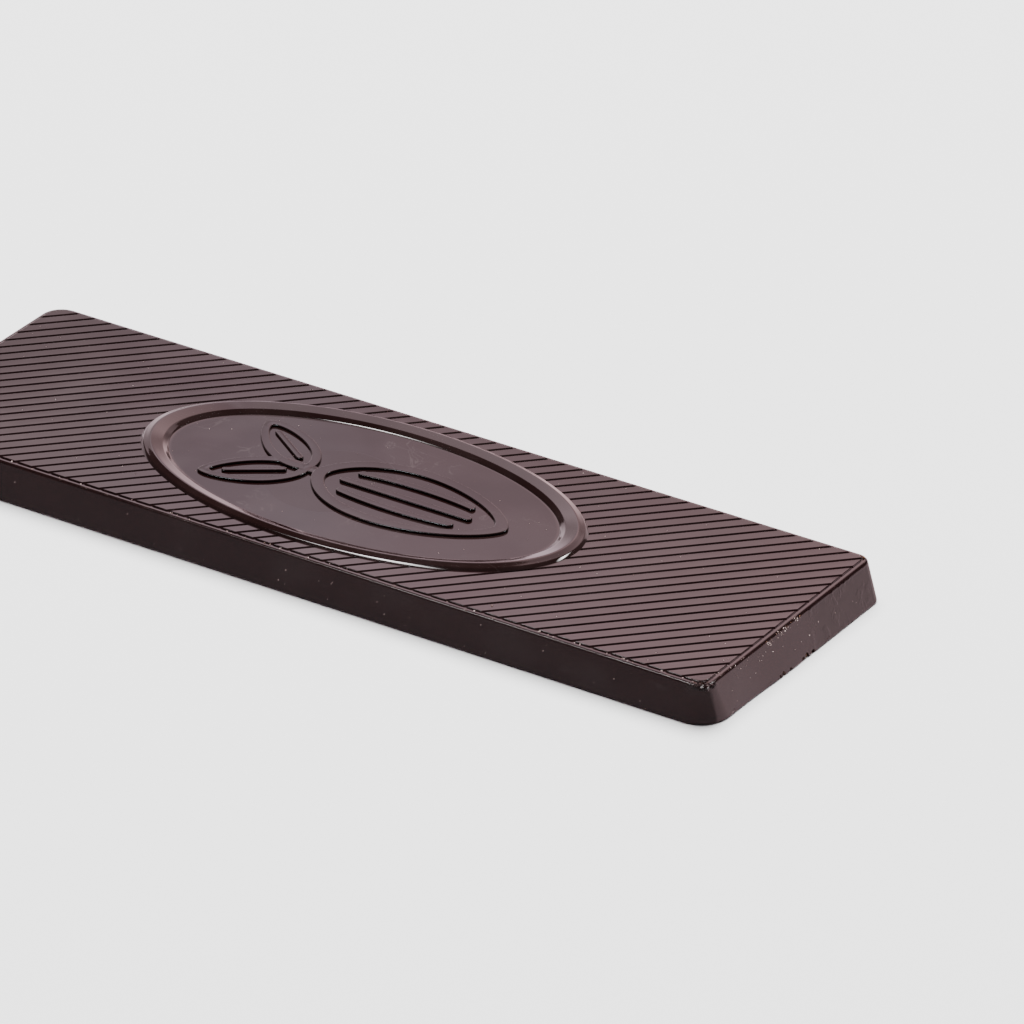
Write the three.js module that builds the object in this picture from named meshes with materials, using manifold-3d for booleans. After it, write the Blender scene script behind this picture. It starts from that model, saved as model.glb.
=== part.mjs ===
// A moulded chocolate bar: a thin drafted slab with a narrow ledge round its top, a plateau of slanting
// grooves, an oval rim round a smooth sunken field, and a cocoa pod with two leaves in low relief on it.
// Millimetres, +Z up. The origin is the centre of the underside, +X runs along the bar.
import * as THREE from "three";
import { mergeVertices } from "three/addons/utils/BufferGeometryUtils.js";
import Module from "manifold-3d";

// The slab
const baseLength = 166.6;
const baseWidth = 51.9;
const plateauHeight = 7.7;
const ledgeHeight = 7.45;
const frontRightRadius = 5.5;
const frontRightTopRadius = 2.6;
const backRightRadius = 2.4;
const leftRadius = 3.9;
const cornerDivisions = 6;
const baseEdgeRadius = 0.35;
const baseEdgeSteps = 2;
const topEdgeRadius = 0.46;
const topEdgeSteps = 4;
const sideDraft = 0.45;
const endDraft = 1.42;
const ledgeWidth = 0.4;
const stepBend = 0.04;
const stepLean = 0.1;

// The underside's outline swells out along the back of the right end and the front of the left one
const endFlare = 0.4;
const flareStart = -15;
const flareEnd = -2;

// The grooves
const groovePitch = 3.43;
const grooveOffset = -1.29;
const grooveCount = 61;
const grooveAngle = Math.PI / 4;
const grooveWidth = 0.64;
const grooveFloorWidth = 0.28;
const grooveDepth = 0.24;
const grooveLength = 84;
const overshoot = 0.4;

// The oval: semi-axes at the rim's outer foot, on the plateau, and at its inner foot, on the field
const ovalCentreX = -0.8;
const outerLong = 42.1;
const outerShort = 21.85;
const innerLong = 36.8;
const innerShort = 18.05;
const fieldHeight = 7.37;
const rimRoot = 7.1;
const rimSteps = 80;

// The rim's section, in distances in from the outer foot and rises over the plateau: the knee over the
// steep outer foot, the ridge at the top, the shoulder at the end of the sloping band inside it, and the
// lip over the steep inner foot
const kneeInward = 0.42;
const kneeRise = 0.46;
const ridgeInward = 1.33;
const ridgeRise = 0.92;
const ridgeRound = 0.2;
const shoulderInward = 2.88;
const shoulderRise = 0.38;
const lipInward = 3.3;
const lipRise = 0.07;
const ridgeSteps = 4;

// The relief
const reliefHeight = 0.46;
const reliefRoot = 0.25;
const reliefBevel = 0.12;
const podStroke = 2;
const ribStroke = 1.5;
const stemStroke = 2.2;
const leafStroke = 1.6;
const veinStroke = 1.2;
const podCentreX = 9.5;
const podLong = 18;
const podShort = 8.8;
const podRibSpread = [-0.48, 0, 0.48];
const podRibReach = 0.68;
const podRibShift = -0.9;
const stemFrom = -8;
const stemTo = -12.5;
const leafLong = 8.6;
const leafShort = 3.5;
const leafPoint = 1.25;
const leafSwell = 0.16;
const leafTurn = THREE.MathUtils.degToRad(34);
const leafRootX = -11;
const leafRootY = 0.3;
const leafVeinReach = 0.56;
const outlineSteps = 44;
const leafSteps = 28;
const ribSteps = 12;
const strokeEndSteps = 5;

const weldDistance = 1e-4;

const wasm = await Module();
wasm.setup();

function solid(geometry) {
  const bare = geometry.clone();
  bare.deleteAttribute("normal");
  bare.deleteAttribute("uv");
  const merged = mergeVertices(bare, weldDistance);
  return new wasm.Manifold(
    new wasm.Mesh({
      numProp: 3,
      vertProperties: merged.attributes.position.array,
      triVerts: new Uint32Array(merged.index.array),
    }),
  );
}

function geometryOf(manifold) {
  const mesh = manifold.getMesh();
  const geometry = new THREE.BufferGeometry();
  geometry.setAttribute("position", new THREE.BufferAttribute(mesh.vertProperties, 3));
  geometry.setIndex(new THREE.BufferAttribute(mesh.triVerts, 1));
  geometry.computeVertexNormals();
  return geometry;
}

// How far the ends stand out at a height, at a distance along the right end from its middle.
function endSwell(height, y) {
  const fading = Math.max(0, 1 - height / ledgeHeight);
  return endFlare * fading * THREE.MathUtils.clamp((y - flareStart) / (flareEnd - flareStart), 0, 1);
}

// The bar's outline at a height: drafted above the base edge, and drawn in further by an inset.
function barOutline(inset, height) {
  const rise = (height - baseEdgeRadius) / (ledgeHeight - baseEdgeRadius);
  const drafted = THREE.MathUtils.clamp(rise, 0, 1);
  const x = baseLength / 2 - endDraft * drafted - inset;
  const y = baseWidth / 2 - sideDraft * drafted - inset;
  const back = backRightRadius - inset;
  const front = THREE.MathUtils.lerp(frontRightRadius, frontRightTopRadius, drafted) - inset;
  const left = leftRadius - inset;
  const outline = new THREE.Shape();
  outline.moveTo(x, y - back);
  outline.absarc(x - back, y - back, back, 0, Math.PI / 2);
  outline.absarc(-x + left, y - left, left, Math.PI / 2, Math.PI);
  outline.lineTo(-x, -flareStart);
  outline.lineTo(-x, -flareEnd);
  outline.absarc(-x + left, -y + left, left, Math.PI, Math.PI * 1.5);
  outline.absarc(x - front, -y + front, front, Math.PI * 1.5, Math.PI * 2);
  outline.lineTo(x, flareStart);
  outline.lineTo(x, flareEnd);
  return outline.getPoints(cornerDivisions).map((point) => {
    const side = Math.sign(point.x);
    return new THREE.Vector2(point.x + side * endSwell(height, side * point.y), point.y);
  });
}

// The slab's edge from the underside up to the plateau, as pairs of inset and height.
function edgeProfile() {
  const profile = [];
  for (let k = 0; k <= baseEdgeSteps; k++) {
    const turn = (k / baseEdgeSteps) * (Math.PI / 2);
    profile.push([
      baseEdgeRadius * (1 - Math.sin(turn)),
      baseEdgeRadius * (1 - Math.cos(turn)),
    ]);
  }
  for (let k = 0; k <= topEdgeSteps; k++) {
    const turn = (k / topEdgeSteps) * (Math.PI / 2);
    profile.push([
      topEdgeRadius * (1 - Math.cos(turn)),
      ledgeHeight - topEdgeRadius * (1 - Math.sin(turn)),
    ]);
  }
  const ledgeInset = topEdgeRadius + ledgeWidth;
  profile.push([ledgeInset, ledgeHeight]);
  profile.push([ledgeInset + stepBend, (ledgeHeight + plateauHeight) / 2]);
  profile.push([ledgeInset + stepLean, plateauHeight]);
  return profile;
}

// Stacks the outline at each level of the profile and closes it with a flat top and underside.
function slab() {
  const profile = edgeProfile();
  const rings = profile.map(([inset, height]) => barOutline(inset, height));
  const count = rings[0].length;
  const positions = [];
  rings.forEach((ring, level) => {
    ring.forEach((point) => positions.push(point.x, point.y, profile[level][1]));
  });
  const index = [];
  for (let level = 0; level + 1 < rings.length; level++) {
    for (let k = 0; k < count; k++) {
      const low = level * count + k;
      const lowNext = level * count + ((k + 1) % count);
      index.push(low, lowNext, lowNext + count);
      index.push(low, lowNext + count, low + count);
    }
  }
  const topStart = (rings.length - 1) * count;
  THREE.ShapeUtils.triangulateShape(rings[0], []).forEach(([a, b, c]) => {
    index.push(a, c, b);
    index.push(topStart + a, topStart + b, topStart + c);
  });
  const geometry = new THREE.BufferGeometry();
  geometry.setAttribute("position", new THREE.Float32BufferAttribute(positions, 3));
  geometry.setIndex(index);
  return solid(geometry);
}

// One groove's cutter: a flat-bottomed V along the slant, crossing the centre line at x.
function grooveCutter(x) {
  const slope = (grooveWidth - grooveFloorWidth) / 2 / grooveDepth;
  const top = grooveWidth / 2 + slope * overshoot;
  const floor = grooveFloorWidth / 2;
  const section = new THREE.Shape([
    new THREE.Vector2(-floor, -grooveDepth),
    new THREE.Vector2(floor, -grooveDepth),
    new THREE.Vector2(top, overshoot),
    new THREE.Vector2(-top, overshoot),
  ]);
  const geometry = new THREE.ExtrudeGeometry(section, { depth: grooveLength, bevelEnabled: false });
  geometry.translate(0, 0, -grooveLength / 2);
  geometry.rotateX(Math.PI / 2);
  geometry.rotateZ(-grooveAngle);
  geometry.translate(x, 0, plateauHeight);
  return solid(geometry);
}

function grooves() {
  const middle = (grooveCount - 1) / 2;
  let all = null;
  for (let k = 0; k < grooveCount; k++) {
    const cutter = grooveCutter(grooveOffset + groovePitch * (k - middle));
    all = all ? all.add(cutter) : cutter;
  }
  return all;
}

// Turns a profile round the oval. Its radii are the oval's short semi-axes, and each one is stretched
// along X to the long semi-axis that goes with it.
function ovalLathe(profile) {
  const geometry = new THREE.LatheGeometry(profile, rimSteps);
  geometry.rotateX(Math.PI / 2);
  const position = geometry.attributes.position;
  const gain = (outerLong - innerLong) / (outerShort - innerShort);
  for (let k = 0; k < position.count; k++) {
    const x = position.getX(k);
    const radius = Math.hypot(x, position.getY(k));
    const long = radius < innerShort
      ? (radius * innerLong) / innerShort
      : innerLong + gain * (radius - innerShort);
    position.setX(k, ovalCentreX + (radius > 0 ? (x * long) / radius : 0));
  }
  return solid(geometry);
}

// The rim's section from its outer foot over the rounded ridge to its inner foot.
function rim() {
  const at = (inward, rise) => new THREE.Vector2(outerShort - inward, plateauHeight + rise);
  const knee = at(kneeInward, kneeRise);
  const ridge = at(ridgeInward, ridgeRise);
  const shoulder = at(shoulderInward, shoulderRise);
  const beforeRidge = ridge.clone().lerp(knee, ridgeRound);
  const afterRidge = ridge.clone().lerp(shoulder, ridgeRound);
  const section = [
    new THREE.Vector2(outerShort, rimRoot),
    at(0, 0),
    knee,
    ...new THREE.QuadraticBezierCurve(beforeRidge, ridge, afterRidge).getPoints(ridgeSteps),
    shoulder,
    at(lipInward, lipRise),
    new THREE.Vector2(innerShort, fieldHeight),
    new THREE.Vector2(innerShort, rimRoot),
  ];
  section.push(section[0]);
  return ovalLathe(section);
}

// The pocket that leaves the sunken field, its edge hidden under the rim.
function pocket() {
  const radius = (outerShort + innerShort) / 2;
  const lid = plateauHeight + overshoot;
  return ovalLathe([
    new THREE.Vector2(0, fieldHeight),
    new THREE.Vector2(radius, fieldHeight),
    new THREE.Vector2(radius, lid),
    new THREE.Vector2(0, lid),
  ]);
}

// A leaf-shaped closed line along X, rounder at its near end than at its tip.
function leafLine(long, short, steps) {
  const points = [];
  for (let k = 0; k < steps; k++) {
    const turn = (k / steps) * Math.PI * 2;
    const across = Math.sign(Math.sin(turn)) * Math.abs(Math.sin(turn)) ** leafPoint;
    const swell = 1 - leafSwell * Math.cos(turn);
    points.push(new THREE.Vector2(long * Math.cos(turn), short * across * swell));
  }
  return points;
}

function normalAt(points, k, closed) {
  const last = points.length - 1;
  const before = closed ? points[(k + last) % points.length] : points[Math.max(k - 1, 0)];
  const after = closed ? points[(k + 1) % points.length] : points[Math.min(k + 1, last)];
  const along = after.clone().sub(before).normalize();
  return new THREE.Vector2(-along.y, along.x);
}

function offsetLine(points, distance, closed) {
  return points.map((point, k) => {
    return point.clone().addScaledVector(normalAt(points, k, closed), distance);
  });
}

// A closed line given a width, as a shape with a hole.
function ringShape(points, stroke) {
  const shape = new THREE.Shape(offsetLine(points, -stroke / 2, true));
  shape.holes.push(new THREE.Path(offsetLine(points, stroke / 2, true)));
  return shape;
}

// An open line given a width and two round ends.
function strokeShape(points, stroke) {
  const half = stroke / 2;
  const roundEnd = (point, normal) => {
    const start = Math.atan2(normal.y, normal.x);
    const arc = [];
    for (let k = 1; k < strokeEndSteps; k++) {
      const turn = start + (k / strokeEndSteps) * Math.PI;
      arc.push(new THREE.Vector2(point.x + half * Math.cos(turn), point.y + half * Math.sin(turn)));
    }
    return arc;
  };
  const last = points.length - 1;
  const right = offsetLine(points, -half, false);
  const left = offsetLine(points, half, false).reverse();
  const farEnd = roundEnd(points[last], normalAt(points, last, false).negate());
  const nearEnd = roundEnd(points[0], normalAt(points, 0, false));
  return new THREE.Shape([...right, ...farEnd, ...left, ...nearEnd]);
}

// A flat shape raised on the field, with a bevel round its top edge.
function raised(shape) {
  const geometry = new THREE.ExtrudeGeometry(shape, {
    depth: reliefRoot + reliefHeight - 2 * reliefBevel,
    bevelThickness: reliefBevel,
    bevelSize: reliefBevel,
    bevelOffset: -reliefBevel,
    bevelSegments: 1,
  });
  geometry.translate(0, 0, fieldHeight - reliefRoot + reliefBevel);
  return geometry;
}

function straightLine(fromX, toX, height) {
  const points = [];
  for (let k = 0; k <= ribSteps; k++) {
    const x = fromX + ((toX - fromX) * k) / ribSteps;
    points.push(new THREE.Vector2(x, height(x)));
  }
  return points;
}

function pod() {
  const outline = raised(ringShape(leafLine(podLong, podShort, outlineSteps), podStroke));
  const ribs = podRibSpread.map((spread) => {
    const reach = podLong * podRibReach * Math.sqrt(1 - spread ** 2);
    const bow = (x) => spread * podShort * Math.sqrt(1 - (x / podLong) ** 2);
    const rib = raised(strokeShape(straightLine(-reach, reach, bow), ribStroke));
    return rib.translate(podRibShift, 0, 0);
  });
  return [outline, ...ribs].map((piece) => piece.translate(podCentreX, 0, 0));
}

function leaf(side) {
  const outline = raised(ringShape(leafLine(leafLong, leafShort, leafSteps), leafStroke));
  const reach = leafLong * leafVeinReach;
  const vein = raised(strokeShape(straightLine(-reach, reach, () => 0), veinStroke));
  return [outline, vein].map((piece) => {
    return piece
      .translate(leafLong, 0, 0)
      .rotateZ(Math.PI - side * leafTurn)
      .translate(leafRootX, side * leafRootY, 0);
  });
}

function relief() {
  const stem = raised(strokeShape(straightLine(stemTo, stemFrom, () => 0), stemStroke));
  const pieces = [...pod(), ...leaf(1), ...leaf(-1), stem].map((piece) => {
    return solid(piece.translate(ovalCentreX, 0, 0));
  });
  return pieces.reduce((joined, piece) => joined.add(piece));
}

const chocolate = new THREE.MeshStandardMaterial({
  color: 0x3a2422,
  roughness: 0.25,
  metalness: 0,
});

const bar = slab().subtract(grooves()).subtract(pocket()).add(rim()).add(relief());
const barMesh = new THREE.Mesh(geometryOf(bar), chocolate);
barMesh.name = "chocolate_bar";

const part = new THREE.Group();
part.add(barMesh);

export default part;
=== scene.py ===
"""A dark chocolate bar lying flat: a thin drafted slab with slanting grooves, an oval rim round a smooth
sunken field, and a cocoa pod with two leaves in low relief, with the chips, dust and crumbs of a real bar."""

import math
import random

import bmesh
import bpy
from mathutils import Matrix, Vector


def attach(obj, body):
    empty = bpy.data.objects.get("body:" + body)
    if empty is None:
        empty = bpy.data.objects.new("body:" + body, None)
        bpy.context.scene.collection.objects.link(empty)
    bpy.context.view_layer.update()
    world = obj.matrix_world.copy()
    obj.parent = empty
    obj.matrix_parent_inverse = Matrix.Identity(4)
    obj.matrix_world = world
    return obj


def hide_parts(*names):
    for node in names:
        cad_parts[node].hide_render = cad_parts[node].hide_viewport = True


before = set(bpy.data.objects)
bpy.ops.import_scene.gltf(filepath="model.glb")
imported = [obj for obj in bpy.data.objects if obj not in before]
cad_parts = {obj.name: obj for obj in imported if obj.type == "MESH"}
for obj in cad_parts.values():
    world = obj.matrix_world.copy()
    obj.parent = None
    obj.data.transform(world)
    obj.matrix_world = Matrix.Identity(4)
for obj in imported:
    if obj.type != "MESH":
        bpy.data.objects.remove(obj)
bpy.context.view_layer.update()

MM = 0.001

# The slab
BASE_LENGTH = 166.6 * MM
BASE_WIDTH = 51.9 * MM
PLATEAU_HEIGHT = 7.7 * MM
LEDGE_HEIGHT = 7.45 * MM
FRONT_RIGHT_RADIUS = 5.5 * MM
FRONT_RIGHT_TOP_RADIUS = 2.6 * MM
BACK_RIGHT_RADIUS = 2.4 * MM
LEFT_RADIUS = 3.9 * MM
CORNER_SEGMENTS = 12
SIDE_DRAFT = 0.45 * MM
END_DRAFT = 1.42 * MM
BASE_EDGE_RADIUS = 0.45 * MM
TOP_EDGE_RADIUS = 0.46 * MM
EDGE_SEGMENTS = 6
LEDGE_WIDTH = 0.4 * MM
STEP_LEAN = 0.1 * MM
PLATEAU_EDGE_RADIUS = 0.09 * MM

# The underside's outline swells out along the back of the right end and the front of the left one
END_FLARE = 0.4 * MM
FLARE_START = -15 * MM
FLARE_END = -2 * MM
FLARE_CUTS = 6

# The grooves
GROOVE_PITCH = 3.43 * MM
GROOVE_OFFSET = -1.29 * MM
GROOVE_COUNT = 61
GROOVE_LENGTH = 84 * MM
GROOVE_HALF_FLOOR = 0.14 * MM
GROOVE_HALF_WIDTH = 0.32 * MM
GROOVE_DEPTH = 0.24 * MM
GROOVE_LIP = 0.05 * MM
GROOVE_OVERSHOOT = 0.4 * MM
GROOVE_TURN = math.radians(45)

# The oval
OVAL_X = -0.8 * MM
OUTER_LONG = 42.1 * MM
OUTER_SHORT = 21.85 * MM
INNER_LONG = 36.8 * MM
INNER_SHORT = 18.05 * MM
FIELD_HEIGHT = 7.37 * MM
RIM_ROOT = 7.1 * MM
RIM_SEGMENTS = 240

# The relief
RELIEF_HEIGHT = 0.46 * MM
RELIEF_ROOT = 0.25 * MM
RELIEF_EDGE = 0.19 * MM
RELIEF_SINK = 0.006 * MM
POD_STROKE = 2.0 * MM
RIB_STROKE = 1.5 * MM
STEM_STROKE = 2.2 * MM
LEAF_STROKE = 1.6 * MM
VEIN_STROKE = 1.2 * MM
POD_X = 9.5 * MM
POD_LONG = 18 * MM
POD_SHORT = 8.8 * MM
RIB_SPREAD = 0.48
RIB_REACH = 0.68
RIB_SHIFT = -0.9 * MM
STEM_FROM = -8 * MM
STEM_TO = -12.5 * MM
LEAF_LONG = 8.6 * MM
LEAF_SHORT = 3.5 * MM
LEAF_TURN = math.radians(34)
LEAF_ROOT_X = -11 * MM
LEAF_ROOT_Y = 0.3 * MM
VEIN_REACH = 0.56
LEAF_POINT = 1.25
LEAF_SWELL = 0.16

# The round patch in the field where the mould was cooler
PATCH_PLACE = (-6.2 * MM, -1.0 * MM, 0)
PATCH_RADIUS = 10.9 * MM

# Lumps and crumbs: how many patterns they are copied from, how far from its middle a lump may reach in
# half-sizes, and how far along the bar one may reach, as a share of the ends' swell
LUMP_PATTERNS = 5
LUMP_REACH = 1.25
SWELL_SHARE = 0.75
END_REACH = BASE_LENGTH / 2 + SWELL_SHARE * END_FLARE

# Heights of the foot of the chips and of the crumbled stretches under the top edges
CHIP_HEIGHT = 0.28 * MM
CRUMBLE_HEIGHT = 7.2 * MM

# The studio, in metres
FLOOR_RADIUS = 6
SHEET_RADIUS = 0.75
PANEL_DISTANCE = 0.6

# The camera: its lens and sensor in millimetres, its place and its axes
LENS = 278.1
SENSOR = 36
EYE_PLACE = (0.64869, -0.94398, 0.62644)
EYE_RIGHT = Vector((0.83584, 0.54897, 0.0))
EYE_UP = Vector((-0.26253, 0.39972, 0.87824))
EYE_BACK = Vector((0.48213, -0.73407, 0.47823))

HAIR = MM / 100

SEED = 7
chance = random.Random(SEED)


def clear_selection():
    """Leaves edit mode and deselects everything."""
    if bpy.context.mode != "OBJECT":
        bpy.ops.object.mode_set(mode="OBJECT")
    bpy.ops.object.select_all(action="DESELECT")


def open_for_editing(name):
    """Names the primitive just added, settles its size and place in its mesh and opens it."""
    piece = bpy.context.object
    piece.name = name
    piece.data.name = name
    bpy.ops.object.transform_apply(location=True, rotation=True, scale=True)
    bpy.ops.object.mode_set(mode="EDIT")
    bpy.ops.mesh.select_all(action="DESELECT")
    return piece


def pick(kind, wanted):
    """Selects the vertices, edges or faces of the open piece that pass a test."""
    bpy.ops.mesh.select_mode(type={"verts": "VERT", "edges": "EDGE", "faces": "FACE"}[kind])
    bpy.ops.mesh.select_all(action="DESELECT")
    mesh = bmesh.from_edit_mesh(bpy.context.object.data)
    for element in getattr(mesh, kind):
        if wanted(element):
            element.select_set(True)
    mesh.select_flush_mode()
    bmesh.update_edit_mesh(bpy.context.object.data)


def level(element, height, slack=1e-6):
    """Whether an edge or face lies flat at a height."""
    return all(abs(vert.co.z - height) < slack for vert in element.verts)


def rim_of_level(height):
    """A test for the edges that bound the flat faces at a height."""
    def wanted(edge):
        return level(edge, height) and any(not level(face, height) for face in edge.link_faces)
    return wanted


def cut(body, tool, operation="DIFFERENCE", crossing=False):
    """Joins a solid to the body or cuts it away, and removes the tool."""
    clear_selection()
    bpy.context.view_layer.objects.active = body
    step = body.modifiers.new("cut", "BOOLEAN")
    step.operation = operation
    step.solver = "EXACT"
    step.use_self = crossing
    step.object = tool
    bpy.ops.object.modifier_apply(modifier=step.name)
    bpy.data.objects.remove(tool)


def join(pieces, name):
    """Joins pieces into one mesh under a name."""
    clear_selection()
    for piece in pieces:
        piece.select_set(True)
    bpy.context.view_layer.objects.active = pieces[0]
    bpy.ops.object.join()
    whole = bpy.context.object
    whole.name = name
    whole.data.name = name
    return whole


def end_swell(y, z):
    """How far the right end stands out at a place on it; the left end has the same, turned round."""
    along = min(1.0, max(0.0, (y - FLARE_START) / (FLARE_END - FLARE_START)))
    fading = min(1.0, max(0.0, 1 - z / LEDGE_HEIGHT))
    return END_FLARE * fading * along * along * (3 - 2 * along)


def swell_ends():
    """Cuts the open slab across where its ends begin to swell, and moves the ends out there."""
    for k in range(FLARE_CUTS):
        for side in (1, -1):
            y = side * (FLARE_START + (FLARE_END - FLARE_START) * k / (FLARE_CUTS - 1))
            bpy.ops.mesh.select_all(action="SELECT")
            bpy.ops.mesh.bisect(plane_co=(0, y, 0), plane_no=(0, 1, 0))
    body = bpy.context.object
    mesh = bmesh.from_edit_mesh(body.data)
    for vert in mesh.verts:
        side = math.copysign(1, vert.co.x)
        vert.co.x += side * end_swell(side * vert.co.y, vert.co.z)
    bmesh.update_edit_mesh(body.data)


def sharpen_corner():
    """Draws the open slab's front right corner in to a tighter bend at its top."""
    body = bpy.context.object
    corner = Vector((BASE_LENGTH, -BASE_WIDTH)) / 2
    inward = Vector((-1, 1))
    mesh = bmesh.from_edit_mesh(body.data)
    for vert in mesh.verts:
        out = vert.co.xy - corner - inward * FRONT_RIGHT_RADIUS
        if vert.co.z > LEDGE_HEIGHT / 2 and out.x > -HAIR and out.y < HAIR:
            vert.co.xy = corner + FRONT_RIGHT_TOP_RADIUS * (inward + out.normalized())
    bmesh.update_edit_mesh(body.data)


def slab():
    """The drafted slab with its rounded corners and edges, its ledge and the step up to the plateau."""
    clear_selection()
    bpy.ops.mesh.primitive_cube_add(
        size=1, location=(0, 0, LEDGE_HEIGHT / 2), scale=(BASE_LENGTH, BASE_WIDTH, LEDGE_HEIGHT))
    body = open_for_editing("bar")
    for x, y, radius in ((1, -1, FRONT_RIGHT_RADIUS), (1, 1, BACK_RIGHT_RADIUS),
                         (-1, 1, LEFT_RADIUS), (-1, -1, LEFT_RADIUS)):
        corner = Vector((x * BASE_LENGTH, y * BASE_WIDTH)) / 2
        pick("edges", lambda edge: all((vert.co.xy - corner).length < MM for vert in edge.verts))
        bpy.ops.mesh.bevel(offset=radius, segments=CORNER_SEGMENTS, affect="EDGES")
    sharpen_corner()
    pick("verts", lambda vert: vert.co.z > LEDGE_HEIGHT / 2)
    shrink = (1 - 2 * END_DRAFT / BASE_LENGTH, 1 - 2 * SIDE_DRAFT / BASE_WIDTH, 1)
    bpy.ops.transform.resize(value=shrink, center_override=(0, 0, LEDGE_HEIGHT))
    pick("edges", rim_of_level(0))
    bpy.ops.mesh.bevel(offset=BASE_EDGE_RADIUS, segments=EDGE_SEGMENTS, affect="EDGES")
    pick("edges", rim_of_level(LEDGE_HEIGHT))
    bpy.ops.mesh.bevel(offset=TOP_EDGE_RADIUS, segments=EDGE_SEGMENTS, affect="EDGES")
    pick("faces", lambda face: level(face, LEDGE_HEIGHT))
    bpy.ops.mesh.inset(thickness=LEDGE_WIDTH, use_even_offset=True)
    rise = PLATEAU_HEIGHT - LEDGE_HEIGHT
    bpy.ops.mesh.extrude_region_move(TRANSFORM_OT_translate={"value": (0, 0, rise)})
    shrink = (1 - 2 * STEP_LEAN / BASE_LENGTH, 1 - 2 * STEP_LEAN / BASE_WIDTH, 1)
    bpy.ops.transform.resize(value=shrink, center_override=(0, 0, PLATEAU_HEIGHT))
    pick("edges", rim_of_level(PLATEAU_HEIGHT))
    bpy.ops.mesh.bevel(offset=PLATEAU_EDGE_RADIUS, segments=2, affect="EDGES")
    swell_ends()
    bpy.ops.object.mode_set(mode="OBJECT")
    return body


def groove_section():
    """A groove's half-widths from its floor up over its rounded lip: (half-width, height)."""
    lean = math.atan2(GROOVE_HALF_WIDTH - GROOVE_HALF_FLOOR, GROOVE_DEPTH)
    reach = GROOVE_LIP * math.tan((math.pi / 2 - lean) / 2)
    centre = Vector((GROOVE_HALF_WIDTH + reach, -GROOVE_LIP))
    steps = 3
    for k in range(steps + 1):
        turn = math.pi - lean - (math.pi / 2 - lean) * k / steps
        yield centre + GROOVE_LIP * Vector((math.cos(turn), math.sin(turn)))
    yield Vector((centre.x + GROOVE_OVERSHOOT, GROOVE_OVERSHOOT / 2))


def grooves():
    """All the grooves' cutters in one mesh: one drawn up through the section, then repeated in a row."""
    clear_selection()
    bpy.ops.mesh.primitive_plane_add(size=1, location=(0, 0, PLATEAU_HEIGHT - GROOVE_DEPTH))
    bpy.context.object.scale = (GROOVE_LENGTH, 2 * GROOVE_HALF_FLOOR, 1)
    cutter = open_for_editing("groove")
    bpy.ops.mesh.select_all(action="SELECT")
    half, height = GROOVE_HALF_FLOOR, -GROOVE_DEPTH
    for corner in groove_section():
        bpy.ops.mesh.extrude_region_move(TRANSFORM_OT_translate={"value": (0, 0, corner.y - height)})
        bpy.ops.transform.resize(value=(1, corner.x / half, 1), center_override=(0, 0, 0))
        half, height = corner.x, corner.y
    bpy.ops.mesh.select_all(action="SELECT")
    bpy.ops.mesh.normals_make_consistent(inside=False)
    bpy.ops.object.mode_set(mode="OBJECT")
    cutter.rotation_euler.z = GROOVE_TURN
    cutter.location.x = GROOVE_OFFSET - GROOVE_PITCH * (GROOVE_COUNT - 1) / 2
    bpy.ops.object.transform_apply(location=True, rotation=True, scale=True)
    row = cutter.modifiers.new("row", "ARRAY")
    row.count = GROOVE_COUNT
    row.use_relative_offset = False
    row.use_constant_offset = True
    row.constant_offset_displace = (GROOVE_PITCH, 0, 0)
    bpy.ops.object.modifier_apply(modifier=row.name)
    return cutter


def long_axis(short):
    """The oval's long semi-axis that goes with a short one."""
    gain = (OUTER_LONG - INNER_LONG) / (OUTER_SHORT - INNER_SHORT)
    if short < INNER_SHORT:
        return INNER_LONG * short / INNER_SHORT
    return INNER_LONG + gain * (short - INNER_SHORT)


def bend(start, corner, end, steps):
    """Points along a smooth bend that leaves the start towards the corner and comes from it to the end."""
    for k in range(1, steps + 1):
        t = k / steps
        yield [(1 - t) ** 2 * a + 2 * t * (1 - t) * b + t * t * c for a, b, c in zip(start, corner, end)]


def rim_section():
    """The rim from its outer foot up the flank, over the ridge, down the band and the wall to the field."""
    foot, steep, knee = (0.03, -0.04), (0.24, 0.25), (0.42, 0.46)
    slope, flank, ridge, band = (0.62, 0.55), (1.16, 0.82), (1.33, 0.9), (1.5, 0.845)
    shoulder, wall, lip = (2.84, 0.395), (3.02, 0.3), (3.3, 0.07)
    drop, drop_foot, toe = (3.54, -0.13), (3.67, -0.285), (3.84, -0.334)
    points = [foot]
    points += bend(foot, (0.13, 0.11), steep, 3)
    points += bend(steep, (0.33, 0.36), knee, 2)
    points += bend(knee, (0.5, 0.505), slope, 3)
    points += bend(slope, (0.9, 0.69), flank, 2)
    points += bend(flank, ridge, band, 6)
    points += bend(band, (2.17, 0.62), shoulder, 3)
    points += bend(shoulder, (2.94, 0.36), wall, 3)
    points += bend(wall, (3.16, 0.19), lip, 2)
    points += bend(lip, (3.43, -0.03), drop, 5)
    points += bend(drop, (3.6, -0.205), drop_foot, 2)
    points += bend(drop_foot, (3.71, -0.33), toe, 5)
    return [(inward * MM, rise * MM) for inward, rise in points]


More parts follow.
